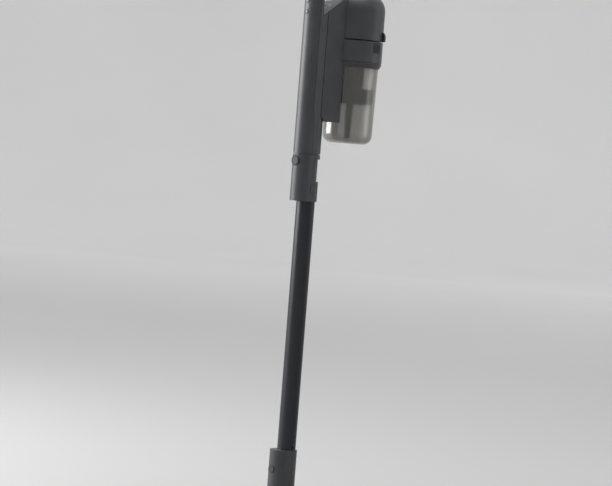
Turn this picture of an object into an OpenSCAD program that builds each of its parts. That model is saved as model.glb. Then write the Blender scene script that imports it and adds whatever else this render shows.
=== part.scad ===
// Cordless stick vacuum standing upright, millimetres, Z up.
// X is across, -Y is the side the user holds it from, +Y is the bin side.
// The origin is on the floor, under the centre line of the wand.

/* [Wand] */
// outer radius of the wand tube
wand_r = 14; // [12:0.5:17]
// length of the wand tube between its two collars' shoulders
wand_len = 426; // [330:2:560]

/* [Pole and handle] */
// how much wider the pole, the collars and the handle are than the wand, on each side
pole_over = 2.4; // [2:0.1:5]
// distance between the two arc centres of the pole's section
arc_gap = 10.4; // [9:0.2:13]
// length of the hand grip above the pole
grip_len = 209; // [206:1:250]

/* [Bin and motor] */
// radius of the clear dust cup at its foot
cup_r = 37.5; // [36:0.5:44]
// height of the clear dust cup below its collar
cup_h = 118; // [108:1:124]

/* [Floor head] */
// width of the floor head
head_w = 250; // [220:2:300]
// radius of the two rear wheels
wheel_r = 20; // [16:0.5:21]

/* [Hidden] */

wall = 2;            // shell wall
air = 0.3;           // gap between pieces that move apart
fit = 0.05;          // radial clearance of a running fit
big = 400;

pole_r = wand_r + pole_over;
front_y = -arc_gap - pole_r;

// floor head
head_arc_y = 60;     // centre of the cover's arc
head_arc_z = -6;
head_arc_r = 64;
head_back = 20;
roll_y = 84;
roll_z = 23;
roll_r = 14;
brush_r = 22.4;
chamber_r = 23;
cap_r = 19.6;
motor_y = 46;
motor_z = 30;
pitch_z = 34;
ear_x = 29;
ear_t = 10;
wheel_y = -28;
sole_z = 2.5;
chamber_l = -(head_w / 2 - 13);
chamber_end = head_w / 2 - 19;
drive_x = chamber_end + 2;

// neck and lower collar
neck_top = 77.6;
low_z = 78;
low_top = 141;
wand_z = 90;
latch_z = 112;
spigot_r = wand_r - 1.5;
duct_r = wand_r - 3.5;
neck_r = wand_r + 3;
barrel_r = neck_r + 2;

// heights above the floor of everything on the wand
z0 = wand_z + wand_len;
collar_h = 70;
pole_z = 71;
seam_low = -8.3;
seam_high = -12.2;
seam_gap = 0.55;
fin_w = pole_r + 0.6;
fin_flare = 3.6;     // how much wider each flank is at the bin than at the pole
fin_front = 2.4;
fin_y = pole_r + 23.6;
fin_top = 303.6;
roof_y = -5.5;
roof_z = 279;
roof_slope = 0.755;
gap_z = 247.5;
grip_z = roof_z;
grip_top = grip_z + grip_len;
grip_rear = 7.6;
cell_r = (pole_r + grip_rear) / 2 - wall - air;
cell_y = -arc_gap - (pole_r - grip_rear) / 2;
board_y = front_y + wall + 4.8;
tube_r = wand_r - 3.4;
latch_x = tube_r + 2.6;
port_z = 234;

// bin and motor share one axis
cup_top_r = cup_r + 1.8;
ring_r = cup_r + 5.8;
house_r = cup_r + 5.5;
bin_y = pole_r + 11.8 + ring_r;
cup_z = gap_z - 38.5 - cup_h;
ring_z = 206;
slot_y = fin_y + 1.8;
dome_z = 44;
dome_r = house_r - 16;
cap_split = 56;
key_a = 103;
skirt_r = cup_r - 4.5;

module zcyl(r, a, b, y = 0) translate([0, y, a]) cylinder(r = r, h = b - a, $fn = 96);
module xcyl(r, a, b, y, z) translate([a, y, z]) rotate([0, 90, 0]) cylinder(r = r, h = b - a, $fn = 72);
module ycyl(r, a, b, x, z) translate([x, b, z]) rotate([90, 0, 0]) cylinder(r = r, h = b - a, $fn = 72);
module block(a, b) translate(a) cube(b - a);
module side(a, b) translate([a, 0, 0]) rotate([90, 0, 90]) linear_extrude(b - a) children();
module both() {
  children();
  mirror([1, 0, 0]) children();
}
module on_wand() translate([0, 0, z0]) children();
module box2d(a, b) translate(a) square(b - a);

// the pole's section: a round front and a round rear of one radius
module pole2d(r) union() {
  circle(r, $fn = 96);
  translate([0, -arc_gap]) circle(r, $fn = 96);
  translate([-r, -arc_gap]) square([2 * r, arc_gap]);
}
module pole(r, a, b) translate([0, 0, a]) linear_extrude(b - a) pole2d(r);

// the grip's section: the same round front over a flatter rear
module grip2d(inset) union() {
  intersection() {
    translate([0, -arc_gap]) circle(pole_r - inset, $fn = 96);
    translate([-big, -arc_gap - big]) square([2 * big, big]);
  }
  for (s = [-1, 1]) translate([s * (pole_r - grip_rear), -arc_gap]) circle(grip_rear - inset, $fn = 64);
  translate([grip_rear - pole_r, -arc_gap - grip_rear + inset])
    square([2 * (pole_r - grip_rear), 2 * (grip_rear - inset)]);
}
module grip(inset, a, b) translate([0, 0, a]) linear_extrude(b - a) grip2d(inset);

// ---------------------------------------------------------------- floor head
module head2d(inset) intersection() {
  translate([head_arc_y, head_arc_z]) circle(head_arc_r - inset, $fn = 128);
  box2d([head_back + inset, sole_z + 3], [head_arc_y + head_arc_r, head_arc_r]);
}
module head_plan(inset) {
  w = head_w / 2 - inset;
  c = 18;
  union() {
    box2d([-w, head_back], [w, 100]);
    box2d([c - w, head_back], [w - c, 123 - inset]);
    for (s = [-1, 1]) translate([s * (w - c), 123 - inset - 22]) circle(c, $fn = 64);
    for (s = [-1, 1]) translate([s * (w - c), 123 - inset - 22]) square([1, 1]);
  }
}
module ear() difference() {
  side(ear_x, ear_x + ear_t) union() {
    translate([0, pitch_z]) circle(20, $fn = 72);
    box2d([0, 6], [head_back + 4, 54]);
    polygon([[wheel_y - 8, 12], [wheel_y - 8, 26], [-12, 50], [4, 50], [4, 6], [wheel_y, 6]]);
  }
  xcyl(5 + fit, ear_x - 1, ear_x + 8, 0, pitch_z);
  xcyl(3, ear_x + 3, ear_x + ear_t + 1, wheel_y, wheel_r);
}
module screw_spots() for (s = [-1, 1], at = [[6, 40], [14, 108]])
  translate([s * (head_w / 2 - at[0]), at[1], 0]) children();

module sole() color("#26282a") difference() {
  union() {
    intersection() {
      translate([0, 0, sole_z]) linear_extrude(3) head_plan(1.5);
      block([-head_w, head_back, 0], [head_w, 121, 9]);
    }
    block([-ear_x - ear_t, -15, sole_z], [ear_x + ear_t, head_back + 2, sole_z + 3]);
  }
  block([chamber_l + 6, roll_y - 17, 0], [chamber_end - 4, roll_y + 17, 9]);
  screw_spots() zcyl(3.2, 0, sole_z + 1.6);
  screw_spots() zcyl(1.5, 0, 9);
  xcyl(cap_r + air, -head_w, chamber_l + 2.4, roll_y, roll_z);
}
module glide_pads() color("#5a5c60") union() {
  block([-26, -7, 0], [26, 7, sole_z]);
  both() block([50, 105, 0], [head_w / 2 - 22, 115, sole_z]);
}
module sole_screws() color("#8f9296") screw_spots() union() {
  zcyl(3, sole_z + 0.2, sole_z + 1.6);
  zcyl(1.5, sole_z + 1, 16);
}
module head_shell() color("#3a3c40") difference() {
  union() {
    intersection() {
      side(-head_w / 2, head_w / 2) head2d(0);
      linear_extrude(90) head_plan(0);
    }
    both() ear();
  }
  xcyl(chamber_r, chamber_l, chamber_end, roll_y, roll_z);
  block([chamber_l, roll_y - 18, 0], [chamber_end, roll_y + 18, roll_z]);
  xcyl(cap_r + air, -head_w, chamber_l + 1, roll_y, roll_z);
  xcyl(5 + fit, chamber_end - 1, drive_x + 1, roll_y, roll_z);
  side(drive_x, drive_x + 8) intersection() {
    head2d(3.4);
    box2d([34, 0], [roll_y + 14, 46]);
  }
  side(chamber_l, drive_x - 2) intersection() {
    head2d(3);
    box2d([head_back + 3, 0], [roll_y - chamber_r - 2.5, 90]);
  }
  xcyl(3, drive_x - 3, drive_x + 1, motor_y, motor_z);
  xcyl(barrel_r + 1, -ear_x, ear_x, 0, pitch_z);
  ycyl(13.3, 0, roll_y - 10, 0, pitch_z - 4);
  block([-80.3, 92, 20], [80.3, 108.3, 70]);
  screw_spots() zcyl(1.5, 0, 16.2);
  side(-head_w / 2 + 18.8, head_w / 2 - 18.8) nose2d(2, 6.8, 13.2);
  side(-46.2, 46.2) nose2d(2, 15.3, 19.2);
}
module roller_window() color("#6a6e72", 0.5) intersection() {
  side(-80, 80) difference() {
    translate([head_arc_y, head_arc_z]) circle(head_arc_r, $fn = 128);
    translate([head_arc_y, head_arc_z]) circle(head_arc_r - 2.2, $fn = 128);
  }
  block([-80, 92.3, 20], [80, 108, 70]);
}
module nose2d(out, low, high) intersection() {
  difference() {
    translate([head_arc_y, head_arc_z]) circle(head_arc_r + out, $fn = 128);
    translate([head_arc_y, head_arc_z]) circle(head_arc_r - 1.2, $fn = 128);
  }
  box2d([100, low], [200, high]);
}
module front_bumper() color("#1d1e1f") side(-head_w / 2 + 19, head_w / 2 - 19) nose2d(0.8, 7, 13);
module lamp_lens() color("#d8d8d4", 0.7) side(-46, 46) nose2d(0.2, 15.5, 19);
module head_duct() color("#2c2e30") difference() {
  ycyl(13, 8, roll_y - 18, 0, pitch_z - 4);
  ycyl(11.4, 0, roll_y, 0, pitch_z - 4);
  xcyl(barrel_r + 0.6, -40, 40, 0, pitch_z);
  xcyl(chamber_r, -40, 40, roll_y, roll_z);
}
module brush_motor() color("#9a9da0") union() {
  xcyl(12, drive_x - 66, drive_x - 4, motor_y, motor_z);
  xcyl(6, drive_x - 70, drive_x - 66, motor_y, motor_z);
}
module motor_pulley() color("#b8babd") union() {
  xcyl(2, drive_x - 3.6, drive_x + 7, motor_y, motor_z);
  xcyl(7, drive_x + 0.6, drive_x + 6.6, motor_y, motor_z);
}
module belt() color("#1a1a1b") {
  d = sqrt(pow(roll_y - motor_y, 2) + pow(roll_z - motor_z, 2));
  t = atan2(roll_z - motor_z, roll_y - motor_y);
  translate([drive_x + 1, motor_y, motor_z]) rotate([t, 0, 0]) side(0, 5) difference() {
    belt2d(8.4, d);
    belt2d(7 + air, d);
  }
}
module belt2d(r, d) union() {
  circle(r, $fn = 64);
  translate([d, 0]) circle(r, $fn = 64);
  translate([0, -r]) square([d, 2 * r]);
}
module roller() color("#3c4044") union() {
  xcyl(roll_r, chamber_l + 6, chamber_end - 1.5, roll_y, roll_z);
  xcyl(5, chamber_l - 4, chamber_l + 6, roll_y, roll_z);
  xcyl(5, chamber_end - 1.5, drive_x + 6.6, roll_y, roll_z);
  xcyl(7, drive_x + 0.6, drive_x + 6.6, roll_y, roll_z);
}
module bristles() color("#55585c") difference() {
  translate([0, roll_y, roll_z]) for (a = [0:60:300]) rotate([a, 0, 0])
    block([chamber_l + 8, -1.6, roll_r - 1], [chamber_end - 4, 1.6, brush_r - 0.1]);
  xcyl(roll_r, -head_w, head_w, roll_y, roll_z);
}
module roller_cap() color("#4c5056") difference() {
  union() {
    xcyl(cap_r, -head_w / 2, chamber_l + 2, roll_y, roll_z);
    side(-head_w / 2 - 2, -head_w / 2 + 1) translate([roll_y, roll_z]) square([24, 5], center = true);
  }
  xcyl(5 + fit, chamber_l - 6, chamber_l + 3, roll_y, roll_z);
}
module axles() color("#b8babd") both() xcyl(3, ear_x + 3, ear_x + ear_t + 17, wheel_y, wheel_r);
module wheel_hub() difference() {
  union() {
    xcyl(wheel_r - 3, ear_x + ear_t + 1, ear_x + ear_t + 15, wheel_y, wheel_r);
    xcyl(6, ear_x + ear_t + 0.4, ear_x + ear_t + 15.6, wheel_y, wheel_r);
  }
  xcyl(3 + fit, 0, 90, wheel_y, wheel_r);
  xcyl(wheel_r - 6, ear_x + ear_t + 12, 90, wheel_y, wheel_r);
}
module tyre() difference() {
  xcyl(wheel_r, ear_x + ear_t + 1.5, ear_x + ear_t + 14.5, wheel_y, wheel_r);
  xcyl(wheel_r - 3, 0, 90, wheel_y, wheel_r);
}
module wheel_hub_right() color("#4a4d50") wheel_hub();
module wheel_hub_left() color("#4a4d50") mirror([1, 0, 0]) wheel_hub();
module tyre_right() color("#1d1e1f") tyre();
module tyre_left() color("#1d1e1f") mirror([1, 0, 0]) tyre();

// ---------------------------------------------------------------- neck and lower collar
module neck() color("#303236") difference() {
  union() {
    xcyl(barrel_r, -ear_x + 0.5, ear_x - 0.5, 0, pitch_z);
    xcyl(5, -ear_x - 7, ear_x + 7, 0, pitch_z);
    zcyl(neck_r, pitch_z, neck_top);
  }
  zcyl(spigot_r + fit, pitch_z + 20, neck_top + 1);
  zcyl(duct_r + 0.5, pitch_z, pitch_z + 30);
  xcyl(14, -ear_x + 4, ear_x - 4, 0, pitch_z);
  ycyl(11, 0, 40, 0, pitch_z - 4);
}
module low_seam(front) side(-big, big)
  if (front) box2d([-big, 0], [-8.05, big]);
  else box2d([-7.9, 0], [big, big]);
module low_body() difference() {
  pole(pole_r, low_z, low_top);
  zcyl(wand_r + fit, wand_z, low_top + 1);
  zcyl(duct_r, 0, low_top);
  ycyl(6.2, -40, -wand_r - 0.6, 0, latch_z);
}
module lower_collar() color("#3a3c40") union() {
  intersection() {
    low_body();
    low_seam(false);
  }
  difference() {
    zcyl(spigot_r, pitch_z + 23, low_z);
    zcyl(duct_r, 0, low_top);
  }
}
module lower_collar_front() color("#3e4044") intersection() {
  low_body();
  low_seam(true);
}
module push_button(r, z, back) ycyl(r, front_y - 0.5, back, 0, z);
module lower_button() color("#8b8d90") push_button(5.9, latch_z, -wand_r - 2.9);

// ---------------------------------------------------------------- wand and upper collar
module wand() color("#8c8e91") difference() {
  zcyl(wand_r, wand_z, z0);
  zcyl(wand_r - 1.2, wand_z - 1, z0 + 1);
  xcyl(1.5, wand_r - 3, wand_r + 2, 0, low_top + 4);
}
module wand_seal() color("#202122") difference() {
  zcyl(wand_r - 1.2, wand_z, wand_z + 6);
  zcyl(wand_r - 3, wand_z - 1, wand_z + 7);
}
module upper_collar() color("#3a3c40") on_wand() difference() {
  union() {
    pole(pole_r, 0, collar_h);
    pole(pole_r - wall - air, collar_h - 1, collar_h + 3);
    zcyl(wand_r - 1.25, -24, 0.5);
  }
  zcyl(tube_r + air, -25, collar_h + 4);
  difference() {
    side(-40, 40) union() {
      box2d([-3, 30], [40, 57.5]);
      box2d([3, 30], [40, 63.5]);
      translate([3, 57.5]) circle(6, $fn = 48);
    }
    zcyl(latch_x + 0.3, 20, 70);
  }
  ycyl(6.2, -60, -tube_r - 3.4, 0, 60);
  ycyl(8, -60, front_y + 5.8, 0, 60);
  both() block([latch_x, -6.2, 12], [40, 7.6, 25]);
}
module button_ring() color("#1f2022") on_wand() difference() {
  ycyl(7.95, front_y - 0.3, front_y + 5.7, 0, 60);
  ycyl(6.2, -60, front_y + 7, 0, 60);
}
module release_button() color("#8b8d90") on_wand() push_button(5.9, 60, -tube_r - 6.4);
module pad() intersection() {
  pole(pole_r + 0.4, 12.3, 24.7);
  block([latch_x + 1.3, -5.9, 0], [40, 7.3, 30]);
}
module pad_right() color("#2f3134") on_wand() pad();
module pad_left() color("#2f3134") on_wand() mirror([1, 0, 0]) pad();

// ---------------------------------------------------------------- handheld unit
module seam2d(g) polygon([[seam_low + g, 0], [seam_low + g, 106], [seam_high + g, 141],
  [seam_high + g, big + big], [-big, big + big], [-big, 0]]);
module roof2d(drop) polygon([[-big, 0], [big, 0], [big, roof_z - drop + (big - roof_y) * roof_slope],
  [roof_y, roof_z - drop], [-big, roof_z - drop]]);

module front_shell() color("#3a3c40") on_wand() difference() {
  intersection() {
    pole(pole_r, pole_z, grip_top);
    side(-40, 40) seam2d(-seam_gap);
  }
  pole(pole_r - wall, pole_z - 1, grip_top + 1);
  for (z = [roof_z + 3, roof_z + 19.5]) ycyl(3.7, -60, -15, 0, z);
}
module rear_shell() color("#34363a") on_wand() difference() {
  union() {
    difference() {
      intersection() {
        pole(pole_r, pole_z, roof_z + 40);
        side(-40, 40) roof2d(0);
      }
      intersection() {
        pole(pole_r - wall, pole_z - 1, roof_z + 40);
        side(-40, 40) roof2d(2.5);
      }
    }
    grip(0, roof_z - 2, grip_top);
  }
  grip(wall, roof_z - 4, grip_top + 1);
  side(-40, 40) seam2d(0);
  ycyl(9.8, 0, 40, 0, port_z);
}
// the fin's plan: two flanks that flare from the pole to the bin
module fin_plan(inset, rear) polygon([[-fin_w + inset, fin_front - 60], [fin_w - inset, fin_front - 60],
  [fin_w - inset, fin_front], [fin_w + fin_flare - inset, rear], [-fin_w - fin_flare + inset, rear],
  [-fin_w + inset, fin_front]]);
module fin_body(inset) intersection() {
  side(-big, big) intersection() {
    union() {
      box2d([fin_front + 12, 121 + inset], [fin_y - inset, fin_top - inset]);
      box2d([fin_front + inset, 133], [fin_y - inset, fin_top - inset]);
      translate([fin_front + 12, 133]) circle(12 - inset, $fn = 64);
    }
    roof2d(-0.8 + inset);
  }
  linear_extrude(big) fin_plan(inset, fin_y);
}
module fin_pocket(from) translate([0, 0, from]) linear_extrude(big) fin_plan(-0.4, fin_y + 0.1);
module duct_fin() color("#3c3e42") on_wand() difference() {
  fin_body(0);
  difference() {
    fin_body(wall);
    ycyl(11.6, 0, 60, 0, port_z);
  }
  pole(pole_r + 0.1, 0, big);
  zcyl(cup_top_r + 1.2, 0, 220, bin_y);
  ycyl(9.8, 0, 60, 0, port_z);
}
module inlet_tube() color("#2c2e30") on_wand() difference() {
  union() {
    zcyl(tube_r, 30, port_z + 12);
    ycyl(9.5, 0, fin_y, 0, port_z);
  }
  zcyl(tube_r - 1.5, 29, port_z + 10);
  ycyl(8, 0, fin_y + 1, 0, port_z);
}
module duct_gasket() color("#202122") on_wand() difference() {
  ycyl(11, fin_y, slot_y - air, 0, port_z);
  ycyl(8, 0, 60, 0, port_z);
}
module circuit_board() color("#2f5a3c") on_wand() union() {
  block([-9, board_y, 150], [9, board_y + 1.6, 276]);
  block([-6, board_y + 1.6, 160], [6, board_y + 5.5, 180]);
  block([-5, board_y + 1.6, 200], [5, board_y + 6.5, 214]);
}
module power_button() color("#6d7074") on_wand() push_button(3.4, roof_z + 19.5, front_y + 4.4);
module mode_button() color("#6d7074") on_wand() push_button(3.4, roof_z + 3, front_y + 4.4);
module battery() color("#2a3f5c") on_wand()
  zcyl(cell_r, grip_z + 27, grip_top + 12, cell_y);
module battery_cap() color("#2c2e31") on_wand() difference() {
  intersection() {
    grip(0, grip_top + air, grip_top + 16);
    xcyl(30, -40, 40, -arc_gap - 4, grip_top - 14);
    ycyl(34, -60, 40, 0, grip_top - 18);
  }
  zcyl(cell_r, 0, grip_top + 12, cell_y);
}

module house2d(inset) intersection() {
  union() {
    box2d([0, 0], [house_r - inset, dome_z]);
    box2d([0, 0], [house_r - dome_r, dome_z + dome_r - inset]);
    translate([house_r - dome_r, dome_z]) circle(dome_r - inset, $fn = 96);
  }
  box2d([0, 0], [big, big]);
}
module turned(z) translate([0, bin_y, z]) rotate_extrude($fn = 120) children();
module motor_housing() color("#3a3c40") on_wand() difference() {
  turned(gap_z + 0.5) difference() {
    house2d(0);
    difference() {
      house2d(2.5);
      box2d([20, 0], [big, 2.5]);
    }
    box2d([0, cap_split], [big, big]);
  }
  fin_pocket(0);
}
module wall_bumper() color("#232426") on_wand() difference() {
  turned(gap_z + 0.7) polygon([[house_r, 0], [house_r + 3, 0], [house_r + 3.8, 1], [house_r + 3.8, 9],
    [house_r + 1.2, 13.5], [house_r, 13.5]]);
  block([-80, -60, 0], [80, bin_y + 0.55 * house_r, big]);
}
module motor_casing() color("#a4a7aa") on_wand() difference() {
  turned(gap_z + 20) union() {
    box2d([21.5, -1.5], [23, 28]);
    box2d([7, -1.5], [23, 0.5]);
    box2d([7, 26], [23, 28]);
    box2d([23, -1.5], [house_r - 2.6, 0.5]);
  }
  for (a = [0:30:330]) translate([0, bin_y, 0]) rotate(a)
    translate([(house_r + 20.4) / 2, 0, 0]) zcyl(4, gap_z + 15, gap_z + 22);
  fin_pocket(0);
}
module stator() color("#b0703c") on_wand() turned(gap_z + 24) box2d([14, 0], [21.5, 18]);
module rotor() color("#c4c6c8") on_wand() union() {
  turned(gap_z + 5) union() {
    box2d([0, 0], [2.5, 46]);
    box2d([0, 0], [8, 10]);
    box2d([0, 0], [27, 2]);
    box2d([0, 19], [13, 36]);
  }
  for (a = [0:40:320]) translate([0, bin_y, gap_z + 6]) rotate(a) block([7, -0.6, 0], [26, 0.6, 8]);
}
module bearings() color("#d0d2d4") on_wand() for (z = [gap_z + 18.5, gap_z + 46])
  turned(z) box2d([2.5 + fit, 0], [7, 2]);
module exhaust_filter() color("#d9d6cc") on_wand() turned(gap_z + 0.5 + cap_split + 1)
  box2d([10, 0], [house_r - 15, 7]);
module exhaust_cap() color("#303236") on_wand() difference() {
  turned(gap_z + 0.5) difference() {
    house2d(0);
    house2d(2.5);
    box2d([0, 0], [big, cap_split + air]);
  }
  for (a = [0:15:345]) translate([0, bin_y, gap_z]) rotate(a)
    block([house_r - 21, -1.2, cap_split + 5], [house_r - 7, 1.2, 90]);
}

// ---------------------------------------------------------------- dust bin
module key_place(s) translate([0, bin_y, 0]) mirror([s, 0, 0]) rotate(key_a - 90) children();
module bin_collar() color("#2c2e31") on_wand() difference() {
  union() {
    turned(0) polygon([[cup_top_r + 0.35, ring_z], [cup_top_r + 1, ring_z], [ring_r, ring_z + 6],
      [ring_r, 212.6], [ring_r - 0.8, 213.2], [ring_r - 0.8, 214.2], [ring_r, 214.8],
      [ring_r, gap_z - 1.4], [ring_r - 2.8, gap_z - 1.4], [ring_r - 2.8, 220], [cup_top_r + 0.35, 219]]);
    intersection() {
      zcyl(ring_r - 1, 220, gap_z - 1.4, bin_y);
      block([-25, 0, 219.6], [25, slot_y + 2, gap_z]);
    }
  }
  translate([0, 0, 200]) linear_extrude(big) fin_plan(-0.4, slot_y);
  ycyl(8.5, 0, 60, 0, port_z);
  for (s = [0, 1]) key_place(s) block([ring_r - 8, -8.6, 229], [ring_r + 9, 8.6, 244.6]);
}
module cup2d(inset) {
  c = 13.5;
  intersection() {
    union() {
      polygon([[0, cup_z + c], [cup_r - inset, cup_z + c], [cup_top_r - inset, ring_z + 3],
        [cup_top_r - inset, 218], [0, 218]]);
      box2d([0, cup_z + inset], [cup_r - c, cup_z + c + 1]);
      translate([cup_r - c, cup_z + c]) circle(c - inset, $fn = 64);
    }
    box2d([0, 0], [big, big]);
  }
}
module dust_cup() color("#8a8880", 0.4) on_wand() turned(0) difference() {
  cup2d(0);
  cup2d(2);
  box2d([0, 217], [cup_top_r - 2, 219]);
}
module cup_seal() color("#202122") on_wand() turned(218.1) box2d([cup_top_r - 1.8, 0], [cup_top_r + 0.2, 1]);
module cyclone() color("#2a2c2f") on_wand() difference() {
  turned(0) union() {
    box2d([24.5, 244.8], [ring_r - 3.1, gap_z - 1.5]);
    box2d([24.5, 219.5], [26, gap_z - 1.5]);
    box2d([16.5, 219.5], [26, 221]);
    box2d([16.5, 172], [18, 221]);
    box2d([0, 172], [skirt_r, 174]);
    box2d([skirt_r - 1.5, 151], [skirt_r, 174]);
    polygon([[0, cup_z + 6], [4.5, cup_z + 6], [6.5, 173], [0, 173]]);
  }
  block([-25.3, -60, 218], [25.3, slot_y + 2.3, big]);
  for (a = [0:30:330]) translate([0, bin_y, 0]) rotate(a) block([10, -3, 179], [22, 3, 214]);
}
module shroud_mesh() color("#a8aaab") on_wand() turned(0) box2d([15.9, 175], [16.5, 219]);
module prefilter() color("#d8d5ca") on_wand() turned(221.2) box2d([0, 0], [24.2, gap_z - 223]);
module bin_key(s) key_place(s) union() {
  intersection() {
    block([ring_r - 2.4, -8.2, 229.4], [ring_r + 4, 8.2, 244.2]);
    zcyl(ring_r + 0.2, 200, 260);
  }
  for (y = [-5, 0, 5]) intersection() {
    block([ring_r - 2, y - 0.9, 231.4], [ring_r + 4, y + 0.9, 242.2]);
    zcyl(ring_r + 1, 200, 260);
  }
}
module bin_button_right() color("#26282b") on_wand() bin_key(0);
module bin_button_left() color("#26282b") on_wand() bin_key(1);

sole();
glide_pads();
head_shell();
roller_window();
front_bumper();
lamp_lens();
head_duct();
brush_motor();
motor_pulley();
belt();
roller();
bristles();
roller_cap();
axles();
wheel_hub_left();
wheel_hub_right();
tyre_left();
tyre_right();
sole_screws();
neck();
lower_collar();
lower_collar_front();
lower_button();
wand();
wand_seal();
upper_collar();
button_ring();
release_button();
pad_left();
pad_right();
front_shell();
rear_shell();
duct_fin();
inlet_tube();
duct_gasket();
circuit_board();
power_button();
mode_button();
battery();
battery_cap();
motor_housing();
wall_bumper();
motor_casing();
stator();
rotor();
bearings();
exhaust_filter();
exhaust_cap();
bin_collar();
dust_cup();
cup_seal();
cyclone();
shroud_mesh();
prefilter();
bin_button_left();
bin_button_right();
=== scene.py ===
"""Looks of a cordless stick vacuum: its finishes, brush tufts, button marks and the studio."""

import math

import bpy
import numpy as np
from mathutils import Matrix, Vector


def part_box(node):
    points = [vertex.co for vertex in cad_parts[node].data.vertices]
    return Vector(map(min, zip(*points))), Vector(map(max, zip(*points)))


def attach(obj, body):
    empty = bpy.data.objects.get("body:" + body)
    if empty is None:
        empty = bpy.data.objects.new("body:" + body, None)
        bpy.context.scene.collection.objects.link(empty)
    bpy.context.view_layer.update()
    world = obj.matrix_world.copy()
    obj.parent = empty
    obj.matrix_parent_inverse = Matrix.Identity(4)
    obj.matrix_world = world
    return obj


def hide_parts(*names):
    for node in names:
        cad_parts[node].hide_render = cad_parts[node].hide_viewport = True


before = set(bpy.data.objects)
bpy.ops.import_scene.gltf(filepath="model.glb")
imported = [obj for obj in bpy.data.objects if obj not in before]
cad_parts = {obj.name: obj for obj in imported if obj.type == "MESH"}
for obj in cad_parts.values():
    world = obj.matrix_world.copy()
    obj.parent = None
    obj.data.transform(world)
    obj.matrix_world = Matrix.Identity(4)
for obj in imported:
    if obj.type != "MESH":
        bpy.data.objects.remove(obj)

bl_info = {
    "name": "Stick vacuum looks",
    "version": (1, 0, 0),
    "blender": (4, 5, 0),
    "location": "3D View > Sidebar > Vacuum",
    "description": "Finishes, brush tufts, button marks and studio for a packed stick vacuum",
    "category": "Object",
}

MM = 0.001
# radii and heights of the studio: flat floor out to FLOOR_R, a quarter circle of SWEEP_R, then a wall
FLOOR_R, SWEEP_R, WALL_TOP = 9.0, 3.0, 7.0
# the floor's grey, darker near the object, is partly a grey floor and partly painted shade against the softboxes' pool
# of light; it pales into the wall's between these distances from the object
GREY_NEAR, GREY_FAR = 0.5, 8.0
# the point that the softboxes face
LIT_POINT = (0, 0.03, 0.6)
# eroded and filled plastics scatter much of their mirror reflection, so it is set below a polished skin's
LOW_GLARE = {"Specular IOR Level": 0.32}


# ---------------------------------------------------------------- sizes and colours
def colour_prop(name, text, hexes):
    return bpy.props.StringProperty(name=name, description=text, default=hexes)


def length_prop(name, text, metres):
    return bpy.props.FloatProperty(
        name=name, description=text, default=metres, min=0.0, precision=5, subtype="DISTANCE", unit="LENGTH"
    )


class VacuumColours(bpy.types.PropertyGroup):
    """Colours as sRGB hex values."""

    shell: colour_prop("Shell", "Charcoal of the moulded shells", "#333436")
    shell_light: colour_prop("Shell, lighter", "Lighter drift of the shells' charcoal", "#38393B")
    trim: colour_prop("Trim", "Near-black of the inner and lower mouldings", "#1C1D1F")
    trim_light: colour_prop("Trim, lighter", "Lighter drift of the trim", "#2A2B2D")
    wand: colour_prop("Wand", "Graphite of the anodised tube", "#28292B")
    wand_light: colour_prop("Wand, lighter", "Lighter streaks along the tube", "#313235")
    cup: colour_prop("Cup", "Smoke tint of the clear cup", "#B8B7B3")
    cap: colour_prop("Button cap", "Grey of the button caps", "#2B2D2F")
    mark: colour_prop("Mark", "Pale grey of the marks on the buttons", "#9C9DA0")
    rubber: colour_prop("Rubber", "Black of the tyres, seals and bumper", "#18181A")
    steel: colour_prop("Steel", "Plain steel of shafts, casings and screws", "#B5B6B8")
    filter: colour_prop("Filter", "Off-white of the filters", "#D9D5CA")
    nylon: colour_prop("Nylon", "Grey of the bristle tufts", "#4C4E52")
    pile: colour_prop("Pile", "Dark grey of the glide pads", "#3B3C3F")
    copper: colour_prop("Copper", "Enamelled windings", "#A0562A")
    board: colour_prop("Board", "Green of the circuit board", "#1F4A30")
    sleeve: colour_prop("Sleeve", "Blue sleeve of the battery cells", "#24405F")
    backdrop: colour_prop("Backdrop", "Pale grey of the studio's wall", "#E4E4E4")
    # painted shade: this grey darkens the floor under the softboxes, to even out their pool of light
    floor: colour_prop("Floor", "Grey of the studio's floor under the lights", "#9C9C9C")
    shell_dark: colour_prop("Bin collar", "Darker charcoal of the bin collar and the end caps", "#323335")
    shell_dark_light: colour_prop("Bin collar, lighter", "Lighter drift of that charcoal", "#38393B")
    ring: colour_prop("Button ring", "Black of the ring round the release button", "#060607")
    ring_light: colour_prop("Button ring, lighter", "Lighter drift of the ring", "#0A0A0B")
    cap_light: colour_prop("Button cap, lighter", "Lighter drift of the button caps", "#2F3133")
    cap_dark: colour_prop("Grip button", "Dark grey of the two grip buttons", "#242527")
    cap_dark_light: colour_prop("Grip button, lighter", "Lighter drift of the grip buttons", "#2A2B2D")
    window: colour_prop("Window", "Dark tint of the window over the roller", "#7C7D80")
    lens: colour_prop("Lens", "Near-clear tint of the lamp lens", "#E6E8EC")
    rubber_light: colour_prop("Rubber, dusty", "Dusty patches on the rubber", "#242426")
    steel_light: colour_prop("Steel, lighter", "Lighter drift of the steel", "#C6C7C9")
    filter_light: colour_prop("Filter, darker", "Darker fibres of the filters", "#C9C4B6")
    pile_light: colour_prop("Pile, lighter", "Lighter tips of the glide pads", "#48494C")
    copper_light: colour_prop("Copper, lighter", "Lighter drift of the windings", "#B86A38")
    board_light: colour_prop("Board, lighter", "Green over the copper tracks", "#2A5F3E")
    sleeve_light: colour_prop("Sleeve, lighter", "Lighter drift of the sleeve", "#2C4B6E")
    nylon_light: colour_prop("Nylon, lighter", "Lighter tufts", "#606266")
    mark_light: colour_prop("Mark, darker", "Darker drift of the marks", "#8E8F92")
    shroud: colour_prop("Shroud", "Dark steel of the punched shroud", "#4A4B4D")
    # painted shade: the darkness inside the shroud's holes, painted as spots on the sheet
    shroud_hole: colour_prop("Shroud hole", "Darkness seen through the punched holes", "#0C0C0D")
    backdrop_low: colour_prop("Backdrop, darker", "Darker drift of the studio's wall", "#E0E0E0")


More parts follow.
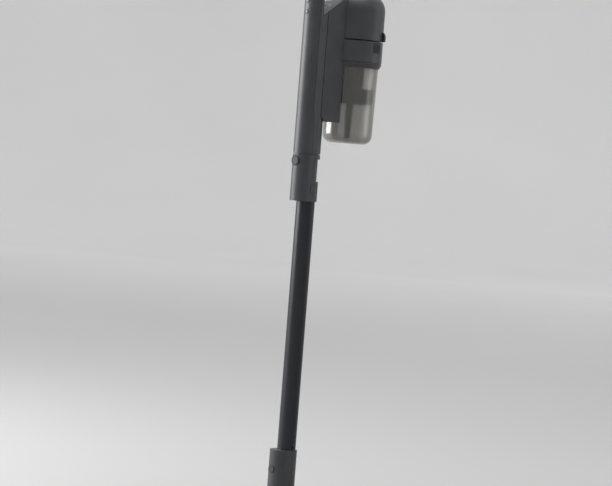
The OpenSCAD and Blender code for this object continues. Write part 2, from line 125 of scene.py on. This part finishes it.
class VacuumSizes(bpy.types.PropertyGroup):
    """Sizes of the added pieces and of the finishes."""

    tuft_r: length_prop("Tuft radius", "Half-width of one bristle tuft at its root", 1.1 * MM)
    tuft_pitch: length_prop("Tuft pitch", "Distance from one tuft to the next along the roller", 2.6 * MM)
    mark_w: length_prop("Mark width", "Line width of the marks on the buttons", 0.5 * MM)
    grain: length_prop("Shell grain", "Size of the eroded grain in the mould, drawn coarse enough to show", 0.9 * MM)
    streak: length_prop("Wand streak", "Width of the drawing lines along the tube", 0.5 * MM)
    tuft_len: length_prop("Tuft length", "From a tuft's root to its tip", 9 * MM)
    tuft_rows: bpy.props.IntProperty(name="Tuft rows", description="Rows round the roller", default=6, min=1)
    tuft_twist: bpy.props.FloatProperty(
        name="Tuft twist", description="Turn of a row over the roller's length, in degrees", default=40.0
    )


class VacuumStage(bpy.types.PropertyGroup):
    """Camera and lights."""

    azimuth: bpy.props.FloatProperty(
        name="Azimuth", description="Camera's turn from the front", default=math.radians(50), subtype="ANGLE"
    )
    pitch: bpy.props.FloatProperty(
        name="Pitch", description="Camera's tilt below level", default=math.radians(2.284), subtype="ANGLE"
    )
    roll: bpy.props.FloatProperty(
        name="Roll", description="Lean of the object in the view", default=math.radians(4.48), subtype="ANGLE"
    )
    distance: length_prop("Distance", "Camera to the wand's axis", 3.72)
    aim_height: length_prop("Aim height", "Height of the aimed point on the wand's axis", 0.513)
    lens: bpy.props.FloatProperty(name="Lens", description="Focal length in millimetres", default=145.9)
    key_power: bpy.props.FloatProperty(name="Key", description="Large softbox at the left", default=112.0)
    fill_power: bpy.props.FloatProperty(name="Fill", description="Softbox at the right", default=6.0)
    top_power: bpy.props.FloatProperty(name="Top", description="Softbox above", default=30.0)
    world: bpy.props.FloatProperty(name="World", description="Strength of the even light", default=0.92)


# ---------------------------------------------------------------- helpers
def linear(hexes, alpha=1.0):
    """sRGB hex text as linear red, green, blue and alpha."""
    c = np.array([int(hexes[i : i + 2], 16) for i in (1, 3, 5)]) / 255.0
    out = np.where(c <= 0.04045, c / 12.92, ((c + 0.055) / 1.055) ** 2.4)
    return (*out.tolist(), alpha)


def add(mat, kind, inputs=None, **settings):
    """One shader node with its settings, its constants and its links."""
    node = mat.node_tree.nodes.new(kind)
    for key, value in settings.items():
        setattr(node, key, value)
    for key, value in (inputs or {}).items():
        socket = node.inputs[key]
        if isinstance(value, bpy.types.NodeSocket):
            mat.node_tree.links.new(value, socket)
        else:
            socket.default_value = value
    return node


def blank(name):
    """A new material with an empty node tree."""
    mat = bpy.data.materials.new(name)
    mat.use_nodes = True
    mat.node_tree.nodes.clear()
    return mat


def surface(name, base, light, rough, grain, depth, stretch=(1, 1, 1), spread=0.08, drift=0.03, **fixed):
    """A solid finish: a slow drift between two colours, and a fine grain that moves the gloss and the relief.
    drift and grain are the pattern's real sizes in metres, and depth is the relief's height in metres."""
    mat = blank(name)
    place = add(mat, "ShaderNodeTexCoord").outputs["Object"]
    scaled = add(mat, "ShaderNodeMapping", {"Vector": place, "Scale": stretch}).outputs["Vector"]
    slow = add(mat, "ShaderNodeTexNoise", {"Vector": scaled, "Scale": 1 / drift, "Detail": 3.0}).outputs["Fac"]
    fine = add(mat, "ShaderNodeTexNoise", {"Vector": scaled, "Scale": 1 / grain, "Detail": 2.0}).outputs["Fac"]
    even = add(
        mat, "ShaderNodeMapRange", {"Value": slow, "From Min": 0.35, "From Max": 0.65, "To Min": 0.0, "To Max": 1.0}
    ).outputs["Result"]
    tint = add(mat, "ShaderNodeMix", {"Factor": even, "A": linear(base), "B": linear(light)}, data_type="RGBA")
    gloss = add(
        mat,
        "ShaderNodeMapRange",
        {"Value": fine, "From Min": 0.3, "From Max": 0.7, "To Min": rough - spread / 2, "To Max": rough + spread / 2},
    ).outputs["Result"]
    relief = add(mat, "ShaderNodeBump", {"Height": fine, "Distance": depth, "Strength": 1.0}).outputs["Normal"]
    shader = add(
        mat,
        "ShaderNodeBsdfPrincipled",
        {"Base Color": tint.outputs["Result"], "Roughness": gloss, "Normal": relief, **fixed},
    )
    add(mat, "ShaderNodeOutputMaterial", {"Surface": shader.outputs["BSDF"]})
    return mat


def clear_wall(name, tint):
    """Smoked polycarbonate, injection moulded with a fine satin skin: see-through but soft, with a faint ripple
    that bends the highlights and a trace of dust haze in the gloss."""
    mat = blank(name)
    place = add(mat, "ShaderNodeTexCoord").outputs["Object"]
    ripple = add(mat, "ShaderNodeTexNoise", {"Vector": place, "Scale": 1 / (14 * MM), "Detail": 1.0}).outputs["Fac"]
    haze = add(mat, "ShaderNodeTexNoise", {"Vector": place, "Scale": 1 / (5 * MM), "Detail": 4.0}).outputs["Fac"]
    gloss = add(
        mat, "ShaderNodeMapRange", {"Value": haze, "From Min": 0.3, "From Max": 0.8, "To Min": 0.16, "To Max": 0.20}
    ).outputs["Result"]
    relief = add(mat, "ShaderNodeBump", {"Height": ripple, "Distance": 0.008 * MM}).outputs["Normal"]
    shader = add(
        mat,
        "ShaderNodeBsdfPrincipled",
        {
            "Base Color": linear(tint),
            "Roughness": gloss,
            "Normal": relief,
            "IOR": 1.585,
            "Transmission Weight": 0.95,
            "Specular IOR Level": 0.2,
        },
    )
    add(mat, "ShaderNodeOutputMaterial", {"Surface": shader.outputs["BSDF"]})
    return mat


def punched_sheet(name, steel, dark):
    """Thin punched steel: round holes in rows, shown as painted shade: dark spots in a bright sheet."""
    mat = blank(name)
    place = add(mat, "ShaderNodeTexCoord").outputs["Object"]
    cells = add(
        mat, "ShaderNodeTexVoronoi", {"Vector": place, "Scale": 1 / (2.2 * MM), "Randomness": 0.0}
    ).outputs["Distance"]
    # painted shade: each hole is a dark spot standing for the darkness seen through it
    hole_shade = add(
        mat, "ShaderNodeMapRange", {"Value": cells, "From Min": 0.3, "From Max": 0.4, "To Min": 1.0, "To Max": 0.0}
    ).outputs["Result"]
    tint = add(
        mat, "ShaderNodeMix", {"Factor": hole_shade, "A": linear(steel), "B": linear(dark)}, data_type="RGBA"
    ).outputs["Result"]
    shader = add(mat, "ShaderNodeBsdfPrincipled", {"Base Color": tint, "Roughness": 0.35, "Metallic": 0.9})
    add(mat, "ShaderNodeOutputMaterial", {"Surface": shader.outputs["BSDF"]})
    return mat


def paint(mat, *nodes):
    """Puts a finish on CAD nodes."""
    for name in nodes:
        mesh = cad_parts[name].data
        mesh.materials.clear()
        mesh.materials.append(mat)


def piece(name, points, faces, mat, body, smooth=True):
    """A mesh object at the origin, in one finish, riding on a body."""
    mesh = bpy.data.meshes.new(name)
    mesh.from_pydata(points.reshape(-1, 3).tolist(), [], faces.tolist())
    mesh.materials.append(mat)
    mesh.polygons.foreach_set("use_smooth", np.full(len(mesh.polygons), smooth))
    mesh.update()
    obj = bpy.data.objects.new(name, mesh)
    bpy.context.scene.collection.objects.link(obj)
    if body:
        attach(obj, body)
    return obj


def grid_faces(rows, cols, wrap):
    """Quads of a rows by cols grid of points; wrap joins the last column to the first."""
    i, j = np.meshgrid(np.arange(rows - 1), np.arange(cols if wrap else cols - 1), indexing="ij")
    k = (j + 1) % cols
    return np.stack([i * cols + j, i * cols + k, (i + 1) * cols + k, (i + 1) * cols + j], -1).reshape(-1, 4)


def mid(node):
    """Centre of a CAD node's box."""
    low, high = (np.array(v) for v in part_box(node))
    return (low + high) / 2


# ---------------------------------------------------------------- finishes of the CAD nodes
class VACUUM_OT_shells(bpy.types.Operator):
    """Charcoal shells: ABS moulded in a spark-eroded tool, a satin skin with a fine grain."""

    bl_idname = "vacuum.shells"
    bl_label = "Shells"

    def execute(self, context):
        c, s = context.scene.vacuum_colours, context.scene.vacuum_sizes
        # moulded ABS: satin, so a long soft highlight runs down each rounded side
        abs_skin = surface("moulded_abs", c.shell, c.shell_light, 0.41, s.grain, 0.012 * MM, IOR=1.53, **LOW_GLARE)
        paint(abs_skin, "front_shell", "rear_shell", "duct_fin", "upper_collar", "lower_collar", "lower_collar_front")
        paint(abs_skin, "motor_housing", "head_shell", "pad_left", "pad_right")
        # the bin's collar comes from a darker batch, with the same grain
        dark_abs = surface(
            "moulded_abs_dark", c.shell_dark, c.shell_dark_light, 0.38, s.grain, 0.012 * MM, IOR=1.53, **LOW_GLARE
        )
        paint(dark_abs, "bin_collar", "battery_cap", "exhaust_cap")
        return {"FINISHED"}


class VACUUM_OT_trim(bpy.types.Operator):
    """Near-black mouldings: glass-filled nylon, matt, with faint flow marks."""

    bl_idname = "vacuum.trim"
    bl_label = "Trim"

    def execute(self, context):
        c, s = context.scene.vacuum_colours, context.scene.vacuum_sizes
        nylon = surface("filled_nylon", c.trim, c.trim_light, 0.52, 1.3 * s.grain, 0.02 * MM, IOR=1.53, **LOW_GLARE)
        paint(nylon, "sole", "head_duct", "roller", "wheel_hub_left", "wheel_hub_right", "neck")
        paint(nylon, "inlet_tube", "cyclone", "bin_button_left", "bin_button_right")
        # the ring round the release button is the blackest moulding of all
        ring = surface("black_nylon", c.ring, c.ring_light, 0.65, 0.5 * MM, 0.004 * MM, IOR=1.53, **LOW_GLARE)
        paint(ring, "button_ring")
        # button caps: painted ABS, a smooth satin grey
        cap = surface("painted_cap", c.cap, c.cap_light, 0.62, 0.5 * MM, 0.004 * MM, IOR=1.5, **LOW_GLARE)
        paint(cap, "release_button", "lower_button", "roller_cap")
        dark_cap = surface("dark_cap", c.cap_dark, c.cap_dark_light, 0.5, 0.5 * MM, 0.004 * MM, IOR=1.5, **LOW_GLARE)
        paint(dark_cap, "power_button", "mode_button")
        return {"FINISHED"}


class VACUUM_OT_wand(bpy.types.Operator):
    """The wand: drawn aluminium tube, bead blasted and anodised graphite."""

    bl_idname = "vacuum.wand"
    bl_label = "Wand"

    def execute(self, context):
        c, s = context.scene.vacuum_colours, context.scene.vacuum_sizes
        # anodised aluminium: dark metal with a broad glow and faint lines the way it was drawn
        tube = surface(
            "anodised_aluminium", c.wand, c.wand_light, 0.32, s.streak, 0.003 * MM, stretch=(1, 1, 0.02), Metallic=0.75
        )
        paint(tube, "wand")
        return {"FINISHED"}


class VACUUM_OT_clear(bpy.types.Operator):
    """The smoked clear cup and the window over the roller."""

    bl_idname = "vacuum.clear"
    bl_label = "Clear parts"

    def execute(self, context):
        c = context.scene.vacuum_colours
        paint(clear_wall("smoked_polycarbonate", c.cup), "dust_cup")
        paint(clear_wall("dark_polycarbonate", c.window), "roller_window")
        paint(clear_wall("lamp_acrylic", c.lens), "lamp_lens")
        return {"FINISHED"}


class VACUUM_OT_works(bpy.types.Operator):
    """Rubber, steel, filters and the electrical pieces."""

    bl_idname = "vacuum.works"
    bl_label = "Works"

    def execute(self, context):
        c = context.scene.vacuum_colours
        # moulded rubber: no shine, with dusty lighter patches
        rubber = surface("moulded_rubber", c.rubber, c.rubber_light, 0.72, 1.5 * MM, 0.03 * MM, IOR=1.52)
        paint(rubber, "tyre_left", "tyre_right", "front_bumper", "belt", "wand_seal", "duct_gasket", "cup_seal")
        # the strip on the housing is a softer grade, coloured to match the charcoal shell
        strip = surface("charcoal_rubber", c.shell, c.trim_light, 0.6, 1.5 * MM, 0.02 * MM, IOR=1.52, **LOW_GLARE)
        paint(strip, "wall_bumper")
        # turned and pressed steel: bright, with fine tool marks round it
        steel = surface("turned_steel", c.steel, c.steel_light, 0.28, 0.4 * MM, 0.003 * MM, (0.05, 1, 1), Metallic=1.0)
        paint(steel, "axles", "sole_screws", "motor_pulley", "brush_motor", "motor_casing", "rotor", "bearings")
        # filter felt: dull off-white with matted fibres
        felt = surface("filter_felt", c.filter, c.filter_light, 0.9, 0.7 * MM, 0.15 * MM, **{"Sheen Weight": 0.3})
        paint(felt, "exhaust_filter", "prefilter")
        # velvet pile: dark, with light catching the fibre tips
        pile = surface("velvet_pile", c.pile, c.pile_light, 0.9, 0.6 * MM, 0.2 * MM, **{"Sheen Weight": 0.6})
        paint(pile, "glide_pads")
        # enamelled copper: wound wire lines round the stator
        copper = surface(
            "enamelled_copper", c.copper, c.copper_light, 0.3, 0.6 * MM, 0.1 * MM, (0.2, 0.2, 1), Metallic=0.7
        )
        paint(copper, "stator")
        # solder mask over copper tracks
        board = surface("solder_mask", c.board, c.board_light, 0.3, 1.2 * MM, 0.03 * MM, drift=3 * MM)
        paint(board, "circuit_board")
        # shrunk sleeve: glossy thin film with faint wrinkles
        sleeve = surface("shrink_sleeve", c.sleeve, c.sleeve_light, 0.25, 4 * MM, 0.05 * MM, (1, 1, 0.3))
        paint(sleeve, "battery")
        paint(punched_sheet("punched_steel", c.shroud, c.shroud_hole), "shroud_mesh")
        return {"FINISHED"}


# ---------------------------------------------------------------- added pieces
class VACUUM_OT_tufts(bpy.types.Operator):
    """Nylon tufts in six rows round the roller, in place of its plain strips."""

    bl_idname = "vacuum.tufts"
    bl_label = "Brush tufts"

    def execute(self, context):
        c, s = context.scene.vacuum_colours, context.scene.vacuum_sizes
        low, high = (np.array(v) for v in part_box("bristles"))
        centre = (low + high) / 2
        tip = (high[2] - low[2]) / 2
        root = tip - s.tuft_len
        rows, sides = s.tuft_rows, 6
        count = int((high[0] - low[0]) / s.tuft_pitch)
        # a tuft is a six-sided cone frustum from the root circle to a wider, ragged tip; each row twists by
        # tuft_twist from one end of the roller to the other
        i = np.arange(count)
        x = low[0] + (i + 0.5) * s.tuft_pitch
        turn = np.radians(360 / rows) * np.arange(rows)[:, None] + np.radians(s.tuft_twist) * (i / count)[None, :]
        ring = np.linspace(0, 2 * np.pi, sides, endpoint=False)
        # levels: root, middle and tip, as (distance from axis, radius)
        ragged = 0.6 * MM * np.sin(7.3 * i)
        dist = np.stack([np.full(count, root), np.full(count, (root + tip) / 2), tip - 1.2 * MM + ragged * 0.5], -1)
        rad = np.array([1.0, 1.15, 1.3]) * s.tuft_r
        d = dist[None, :, :, None]
        across = rad[None, None, :, None] * np.cos(ring)[None, None, None, :]
        along = rad[None, None, :, None] * np.sin(ring)[None, None, None, :]
        a = turn[:, :, None, None]
        px = x[None, :, None, None] + along + 0 * a
        py = centre[1] + d * np.cos(a) - across * np.sin(a)
        pz = centre[2] + d * np.sin(a) + across * np.cos(a)
        points = np.stack(np.broadcast_arrays(px, py, pz), -1).reshape(-1, 3)
        one = grid_faces(3, sides, True)
        step = 3 * sides
        base = (np.arange(rows * count) * step)[:, None, None]
        quads = (one[None] + base).reshape(-1, 4)
        caps = [np.array([0, 5, 4, 3]), np.array([0, 3, 2, 1]), 12 + np.array([0, 1, 2, 3]), 12 + np.array([0, 3, 4, 5])]
        ends = (np.stack(caps)[None] + base).reshape(-1, 4)
        nylon = surface("nylon_tufts", c.nylon, c.nylon_light, 0.6, 0.4 * MM, 0.1 * MM, (0.5, 1, 1))
        obj = piece("bristle_tufts", points, np.concatenate([quads, ends]), nylon, "roller")
        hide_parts("bristles")
        return {"FINISHED"}


class VACUUM_OT_marks(bpy.types.Operator):
    """Pale marks on the two grip buttons: an open ring with a bar, and three bars."""

    bl_idname = "vacuum.marks"
    bl_label = "Button marks"

    def execute(self, context):
        c, s = context.scene.vacuum_colours, context.scene.vacuum_sizes
        ink = surface("pad_printed_ink", c.mark, c.mark_light, 0.4, 0.5 * MM, 0.002 * MM)

        def strip(u, v, node, name, body):
            """A flat ribbon of width mark_w carried along the path (u, v) on the button's face, 0.05 mm proud."""
            low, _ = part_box(node)
            cx, _, cz = mid(node)
            path = np.stack([u, v], -1)
            way = np.gradient(path, axis=0)
            side = np.stack([-way[:, 1], way[:, 0]], -1) / np.linalg.norm(way, axis=1)[:, None]
            edges = np.stack([path + side * s.mark_w / 2, path - side * s.mark_w / 2], 1)
            pts = np.stack([cx + edges[..., 0], np.full(edges.shape[:2], low[1] - 0.05 * MM), cz + edges[..., 1]], -1)
            n = len(u)
            k = np.arange(n - 1) * 2
            faces = np.stack([k, k + 1, k + 3, k + 2], -1)
            obj = piece(name, pts, faces, ink, body, smooth=False)
            thick = obj.modifiers.new("thickness", "SOLIDIFY")
            thick.thickness = 0.05 * MM

        t = np.radians(np.linspace(125, 415, 33))
        strip(1.5 * MM * np.cos(t), 1.5 * MM * np.sin(t), "power_button", "power_ring", "power_button")
        line = np.linspace(0.2, 2.0, 4) * MM
        strip(0 * line, line, "power_button", "power_bar", "power_button")
        for k, half in enumerate((0.6, 1.1, 1.6)):
            u = np.linspace(-half, half, 4) * MM
            strip(u, 0 * u + (k - 1) * 1.2 * MM, "mode_button", f"mode_bar_{k}", "mode_button")
        return {"FINISHED"}


# ---------------------------------------------------------------- stage
class VACUUM_OT_stage(bpy.types.Operator):
    """Pale seamless studio, soft lights and the camera."""

    bl_idname = "vacuum.stage"
    bl_label = "Stage"

    def execute(self, context):
        c, st = context.scene.vacuum_colours, context.scene.vacuum_stage
        # the studio is a disc that sweeps up into a round wall: radius and height follow a quarter circle
        turn = np.linspace(0, 2 * np.pi, 96, endpoint=False)
        bend = np.radians(np.linspace(0, 90, 16))
        r = np.concatenate([[0.001, 2.0, 5.0], FLOOR_R + SWEEP_R * np.sin(bend), [FLOOR_R + SWEEP_R]])
        z = np.concatenate([[0.0, 0.0, 0.0], SWEEP_R - SWEEP_R * np.cos(bend), [WALL_TOP]])
        pts = np.stack(
            np.broadcast_arrays(r[:, None] * np.cos(turn), r[:, None] * np.sin(turn), z[:, None]), -1
        )
        # the floor under the lights is a mid grey, and it pales outwards into the wall: partly a grey floor, partly
        # painted shade that evens out the softboxes' pool of light
        paper = surface("painted_backdrop", c.backdrop, c.backdrop_low, 0.9, 2 * MM, 0.01 * MM, drift=1.5)
        place = add(paper, "ShaderNodeTexCoord").outputs["Object"]
        reach = add(paper, "ShaderNodeVectorMath", {0: place}, operation="LENGTH").outputs["Value"]
        painted_shade_mask = add(
            paper,
            "ShaderNodeMapRange",
            {"Value": reach, "From Min": GREY_NEAR, "From Max": GREY_FAR, "To Min": 1.0, "To Max": 0.0},
        ).outputs["Result"]
        shader = next(n for n in paper.node_tree.nodes if n.type == "BSDF_PRINCIPLED")
        pale = shader.inputs["Base Color"].links[0].from_socket
        painted_shade_floor = add(paper, "ShaderNodeMix", {"Factor": painted_shade_mask, "A": pale, "B": linear(c.floor)}, data_type="RGBA")
        paper.node_tree.links.new(painted_shade_floor.outputs["Result"], shader.inputs["Base Color"])
        floor = piece("studio_floor", pts, grid_faces(len(r), len(turn), True), paper, None)

        ca, sa = math.cos(st.azimuth), math.sin(st.azimuth)
        right, toward = Vector((ca, sa, 0)), Vector((sa, -ca, 0))
        aim = Vector((0, 0, st.aim_height))

        def softbox(name, power, place, wide, high):
            lamp = bpy.data.lights.new(name, "AREA")
            lamp.shape, lamp.size, lamp.size_y, lamp.energy = "RECTANGLE", wide, high, power
            obj = bpy.data.objects.new(name, lamp)
            obj.location = place
            obj.rotation_euler = (Vector(LIT_POINT) - place).to_track_quat("-Z", "Y").to_euler()
            context.scene.collection.objects.link(obj)

        softbox("key_softbox", st.key_power, aim - 2.2 * right - 0.25 * toward + Vector((0, 0, 0.8)), 1.8, 1.9)
        softbox("fill_softbox", st.fill_power, aim + 2.4 * right - 0.2 * toward + Vector((0, 0, 0.65)), 1.0, 1.7)
        softbox("top_softbox", st.top_power, aim + 0.3 * toward + Vector((0, 0, 2.2)), 1.6, 1.6)

        world = bpy.data.worlds.new("studio_air")
        world.use_nodes = True
        world.node_tree.nodes["Background"].inputs["Color"].default_value = (1, 1, 1, 1)
        world.node_tree.nodes["Background"].inputs["Strength"].default_value = st.world
        context.scene.world = world
        context.scene.view_settings.view_transform = "Standard"

        # camera axes: level right and up, pitched down, then rolled so that the object leans in the view
        forward = -toward * math.cos(st.pitch) - Vector((0, 0, math.sin(st.pitch)))
        up = right.cross(forward)
        roll_r = right * math.cos(st.roll) + up * math.sin(st.roll)
        roll_u = up * math.cos(st.roll) - right * math.sin(st.roll)
        # the aimed point stands a little left of and above the view's centre, as slopes of the view
        place = aim - st.distance * (forward - 0.0002 * roll_r + 0.0161 * roll_u)
        cam = bpy.data.cameras.new("camera")
        cam.lens, cam.sensor_width, cam.clip_end = st.lens, 36.0, 60.0
        obj = bpy.data.objects.new("camera", cam)
        turn3 = Matrix((roll_r, roll_u, -forward)).transposed()
        obj.matrix_world = Matrix.Translation(place) @ turn3.to_4x4()
        context.scene.collection.objects.link(obj)
        context.scene.camera = obj
        return {"FINISHED"}


class VACUUM_PT_panel(bpy.types.Panel):
    """Lists the steps and their sizes."""

    bl_idname = "VACUUM_PT_panel"
    bl_label = "Stick vacuum"
    bl_space_type = "VIEW_3D"
    bl_region_type = "UI"
    bl_category = "Vacuum"

    def draw(self, context):
        for step in STEPS:
            self.layout.operator(step.bl_idname)
        for group in (context.scene.vacuum_colours, context.scene.vacuum_sizes, context.scene.vacuum_stage):
            for key in group.__annotations__:
                self.layout.prop(group, key)


GROUPS = {"vacuum_colours": VacuumColours, "vacuum_sizes": VacuumSizes, "vacuum_stage": VacuumStage}
STEPS = (
    VACUUM_OT_shells,
    VACUUM_OT_trim,
    VACUUM_OT_wand,
    VACUUM_OT_clear,
    VACUUM_OT_works,
    VACUUM_OT_tufts,
    VACUUM_OT_marks,
    VACUUM_OT_stage,
)


def register():
    for cls in (*GROUPS.values(), *STEPS, VACUUM_PT_panel):
        bpy.utils.register_class(cls)
    for name, cls in GROUPS.items():
        setattr(bpy.types.Scene, name, bpy.props.PointerProperty(type=cls))


def unregister():
    for name in GROUPS:
        delattr(bpy.types.Scene, name)
    for cls in (VACUUM_PT_panel, *reversed(STEPS), *reversed(GROUPS.values())):
        bpy.utils.unregister_class(cls)


def main():
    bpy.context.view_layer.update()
    register()
    for step in STEPS:
        family, name = step.bl_idname.split(".")
        getattr(getattr(bpy.ops, family), name)()


if __name__ == "__main__":
    main()
